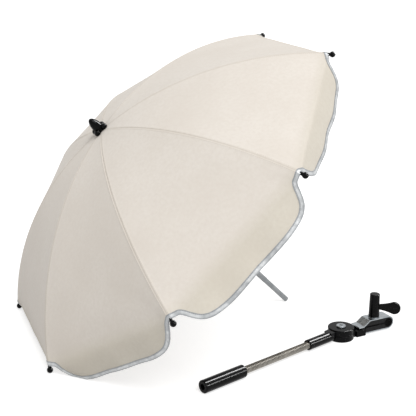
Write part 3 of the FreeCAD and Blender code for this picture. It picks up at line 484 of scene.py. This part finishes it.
def laid_grid(name, columns, rows, place):
    """A grid whose points a function lays out, with the cloth's own coordinates as its UV map."""
    bpy.ops.object.select_all(action="DESELECT")
    bpy.ops.mesh.primitive_grid_add(x_subdivisions=columns - 1, y_subdivisions=rows - 1, size=1)
    piece = bpy.context.object
    piece.name = name
    piece.data.name = name
    spots = []
    for vertex in piece.data.vertices:
        column = round((vertex.co.x + 0.5) * (columns - 1))
        row = round((0.5 - vertex.co.y) * (rows - 1))
        vertex.co, spot = place(column, row)
        spots.append(spot)
    uv = piece.data.uv_layers[0]
    uv.name = "cloth"
    for loop in piece.data.loops:
        uv.data[loop.index].uv = spots[loop.vertex_index]
    return piece


def give_thickness(piece, thickness):
    """Make a sheet as thick as it is, inward from its outer face, closed all round, and smooth."""
    bpy.ops.object.modifier_add(type="SOLIDIFY")
    wall = piece.modifiers[-1]
    wall.thickness = thickness
    wall.offset = -1
    bpy.ops.object.modifier_apply(modifier=wall.name)
    bpy.ops.object.shade_smooth_by_angle(angle=cloth_edge)


def make_band(rib, band):
    """A band of the cloth on both sides of a rib, out to the middle of its gores. The last has the flap."""
    hem = both_sides(rib, 1)
    start, end = band_ends[band], band_ends[band + 1]
    last = band == len(band_folds) - 1
    if last:
        end -= rim_band
    steps = round((end - start - 2 * edge_row) / row_length)
    rows = [start]
    rows += [start + edge_row + (end - start - 2 * edge_row) * k / steps for k in range(steps + 1)]
    rows.append(end)

    def place(column, row):
        side, x, hang = hem[column]
        if row < len(rows):
            length = rows[row]
        else:
            length = end + (rim_band + hang) * (row - len(rows) + 1) / flap_rows
        width = half_width(length)
        beside = x * width / half_chord
        gore = rib if side > 0 else (rib - 1) % rib_count
        return gore_point(gore, -side * (width - beside), length), (side * beside, length)

    cut = laid_grid("canopy_cloth_%d_%d" % (rib + 1, band + 1), len(hem),
                    len(rows) + (flap_rows if last else 0), place)
    give_thickness(cut, canopy_thickness)
    cut.data.materials.append(cloth)
    return cut


def make_binding(rib):
    """The tape folded over the hem on both sides of a rib."""
    hem = both_sides(rib, binding_detail)
    spots = [(side * x, hang) for side, x, hang in hem]
    run = [0.0]
    for here, there in zip(spots, spots[1:]):
        run.append(run[-1] + math.dist(here, there))

    def place(column, row):
        before = spots[max(0, column - 1)]
        after = spots[min(len(spots) - 1, column + 1)]
        size = math.dist(before, after)
        inward = ((after[1] - before[1]) / size, -(after[0] - before[0]) / size)
        inset = binding_lines[len(binding_lines) - 1 - row]
        signed = spots[column][0] + inset * inward[0]
        length = rim_length + spots[column][1] + inset * inward[1]
        side = 1 if spots[column][0] > 0 or (spots[column][0] == 0 and signed >= 0) else -1
        gore = rib if side > 0 else (rib - 1) % rib_count
        across = -side * (half_width(length) - side * signed)
        wave = math.sin(2 * math.pi * run[column] / pucker_length + pucker_slant * inset / binding_width)
        return gore_point(gore, across, length, binding_proud + binding_pucker * wave), (run[column], inset)

    binding = laid_grid("hem_binding_%d" % (rib + 1), len(hem), len(binding_lines), place)
    give_thickness(binding, binding_thickness)
    binding.data.materials.append(tape)
    return binding


def draw_in(piece, rib):
    """Let cloth ride on its rib, in a mesh of its own."""
    body = "rib_%d" % (rib + 1)
    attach(piece, body)
    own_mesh(piece)


for rib in range(rib_count):
    binding = make_binding(rib)
    draw_in(binding, rib)
    for band, share in enumerate(band_folds):
        cut = make_band(rib, band)
        draw_in(cut, rib)
        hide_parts("canopy_panel_%d" % (rib + 1))
        start, end = band_ends[band], band_ends[band + 1]
        last = band == len(band_folds) - 1
        area = (half_width(start) + half_width(end)) * (end - start) + (flap_area(rib) if last else 0)


# Flexible neck

def wind_coil(start):
    """The wound wire of the neck, along the arm's own x axis."""
    bpy.ops.object.select_all(action="DESELECT")
    bpy.ops.mesh.primitive_circle_add(vertices=wire_sides, radius=wire_radius, location=(0, 0, 0))
    coil = bpy.context.object
    coil.name = "neck_coil"
    coil.data.name = "neck_coil"
    bpy.ops.object.mode_set(mode="EDIT")
    bpy.ops.mesh.select_all(action="SELECT")
    bpy.ops.transform.translate(value=(0, coil_radius, 0))
    bpy.ops.object.mode_set(mode="OBJECT")
    bpy.ops.object.modifier_add(type="SCREW")
    winding = coil.modifiers[-1]
    winding.axis = "X"
    winding.angle = 2 * math.pi
    winding.screw_offset = coil_pitch
    winding.iterations = coil_turns
    winding.steps = coil_steps
    winding.render_steps = coil_steps
    bpy.ops.object.modifier_apply(modifier=winding.name)
    bpy.ops.object.mode_set(mode="EDIT")
    bpy.ops.mesh.select_all(action="SELECT")
    bpy.ops.mesh.fill_holes(sides=wire_sides)
    bpy.ops.mesh.select_all(action="SELECT")
    bpy.ops.mesh.normals_make_consistent(inside=False)
    bpy.ops.transform.translate(value=(start, 0, neck_height))
    bpy.ops.object.mode_set(mode="OBJECT")
    bpy.ops.object.shade_smooth_by_angle(angle=steel_edge)
    return coil


def make_core(start, length):
    """The rod inside the coil, cut across many times along its length."""
    bpy.ops.object.select_all(action="DESELECT")
    bpy.ops.mesh.primitive_cylinder_add(vertices=core_sides, radius=core_radius, depth=length,
                                        location=(start + length / 2, 0, neck_height),
                                        rotation=(0, math.pi / 2, 0))
    core = bpy.context.object
    bpy.ops.object.transform_apply(location=True, rotation=True, scale=True)
    bpy.ops.object.mode_set(mode="EDIT")
    bpy.ops.mesh.select_all(action="DESELECT")
    bpy.ops.object.mode_set(mode="OBJECT")
    for edge in core.data.edges:
        a, b = (core.data.vertices[v].co for v in edge.vertices)
        edge.select = abs(a.x - b.x) > length / 2
    bpy.ops.object.mode_set(mode="EDIT")
    bpy.ops.mesh.select_mode(type="EDGE")
    bpy.ops.mesh.subdivide(number_cuts=core_cuts)
    bpy.ops.object.mode_set(mode="OBJECT")
    bpy.ops.object.shade_smooth_by_angle(angle=steel_edge)
    return core


def make_neck():
    """The wound wire and the rod inside it as one piece, laid where the arm lies."""
    coil_length = coil_turns * coil_pitch
    start = (neck_start + neck_end - coil_length) / 2
    coil = wind_coil(start)
    core = make_core(start - core_overlap, coil_length + 2 * core_overlap)
    bpy.ops.object.select_all(action="DESELECT")
    core.select_set(True)
    coil.select_set(True)
    bpy.context.view_layer.objects.active = coil
    bpy.ops.object.join()
    coil.matrix_world = arm_place
    bpy.ops.object.transform_apply(location=True, rotation=True, scale=True)
    coil.data.materials.clear()
    coil.data.materials.append(wound_steel)
    return coil


neck = make_neck()
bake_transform(neck)
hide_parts("gooseneck", "gooseneck_core")


# Floor, light and camera

def looked_at(tree):
    """1 for what the camera, gloss and glass show, and 0 for the light that falls on things."""
    path = add(tree, "ShaderNodeLightPath").outputs
    seen = add(tree, "ShaderNodeMath", {0: path["Is Camera Ray"], 1: path["Is Glossy Ray"]}, operation="ADD")
    seen = add(tree, "ShaderNodeMath", {0: seen.outputs[0], 1: path["Is Transmission Ray"]}, operation="ADD")
    return seen.outputs[0]


def make_floor():
    """A plain pale floor that shows white where the light is full, and keeps the shadows."""
    bpy.ops.object.select_all(action="DESELECT")
    bpy.ops.mesh.primitive_plane_add(size=floor_size, location=(0, 0, -floor_drop))
    floor = bpy.context.object
    floor.name = "studio_floor"
    # Matt paper: even and dull, brighter to the eye than the light that it throws back on the object
    material, tree, shader = new_material("matt_white_floor", Base_Color=linear("#D0D0D0"), Roughness=0.9,
                                          Specular_IOR_Level=0.1, Emission_Color=linear("#FFFFFF"))
    glow = add(tree, "ShaderNodeMath", {0: looked_at(tree), 1: floor_glow}, operation="MULTIPLY").outputs[0]
    tree.links.new(glow, shader.inputs["Emission Strength"])
    floor.data.materials.append(material)


def make_key():
    """A wide soft key from above and in front."""
    bpy.ops.object.light_add(type="SUN")
    key = bpy.context.object
    key.name = "soft_key"
    key.data.energy = key_energy
    key.data.angle = key_width
    key.rotation_mode = "QUATERNION"
    key.rotation_quaternion = key_way.to_track_quat("Z", "Y")


def make_strips():
    """Two strips that streak the black mouldings, along the arm."""
    mouldings = bpy.data.collections.new("black_mouldings")
    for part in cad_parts.values():
        if part.data.materials[0] == black_abs:
            mouldings.objects.link(part)
    for name, way, width, power in strips:
        back = way.normalized()
        place = strip_aim + back * strip_distance
        bpy.ops.object.light_add(type="AREA", location=place)
        strip = bpy.context.object
        strip.name = name
        strip.data.shape = "RECTANGLE"
        strip.data.size = strip_length
        strip.data.size_y = width
        strip.data.energy = power
        strip.visible_diffuse = False
        strip.light_linking.receiver_collection = mouldings
        along = arm_place.to_3x3() @ Vector((1, 0, 0))
        along = (along - back * along.dot(back)).normalized()
        turned = Matrix((along, back.cross(along), back)).transposed().to_4x4()
        strip.matrix_world = Matrix.Translation(place) @ turned


def make_room():
    """An even white room."""
    world = bpy.data.worlds.new("white_room")
    bpy.context.scene.world = world
    world.use_nodes = True
    tree = world.node_tree
    sky = tree.nodes["Background"]
    sky.inputs["Color"].default_value = linear("#FFFFFF")
    light = add(tree, "ShaderNodeMapRange", {"Value": looked_at(tree), "To Min": room_light, "To Max": 1.0})
    tree.links.new(light.outputs["Result"], sky.inputs["Strength"])


def make_camera():
    """The photograph's camera: 82 mm on a 36 mm frame, a little above the parasol."""
    bpy.ops.object.camera_add(location=camera_place)
    camera = bpy.context.object
    level = math.cos(camera_elevation)
    back = Vector((math.sin(camera_azimuth) * level, -math.cos(camera_azimuth) * level,
                   math.sin(camera_elevation)))
    camera.rotation_mode = "QUATERNION"
    camera.rotation_quaternion = (-back).to_track_quat("-Z", "Y")
    camera.data.sensor_width = sensor_width
    camera.data.lens = sensor_width * focal_length / picture_width
    bpy.context.scene.camera = camera


make_floor()
make_key()
make_strips()
make_room()
make_camera()
bpy.context.scene.view_settings.view_transform = "Standard"
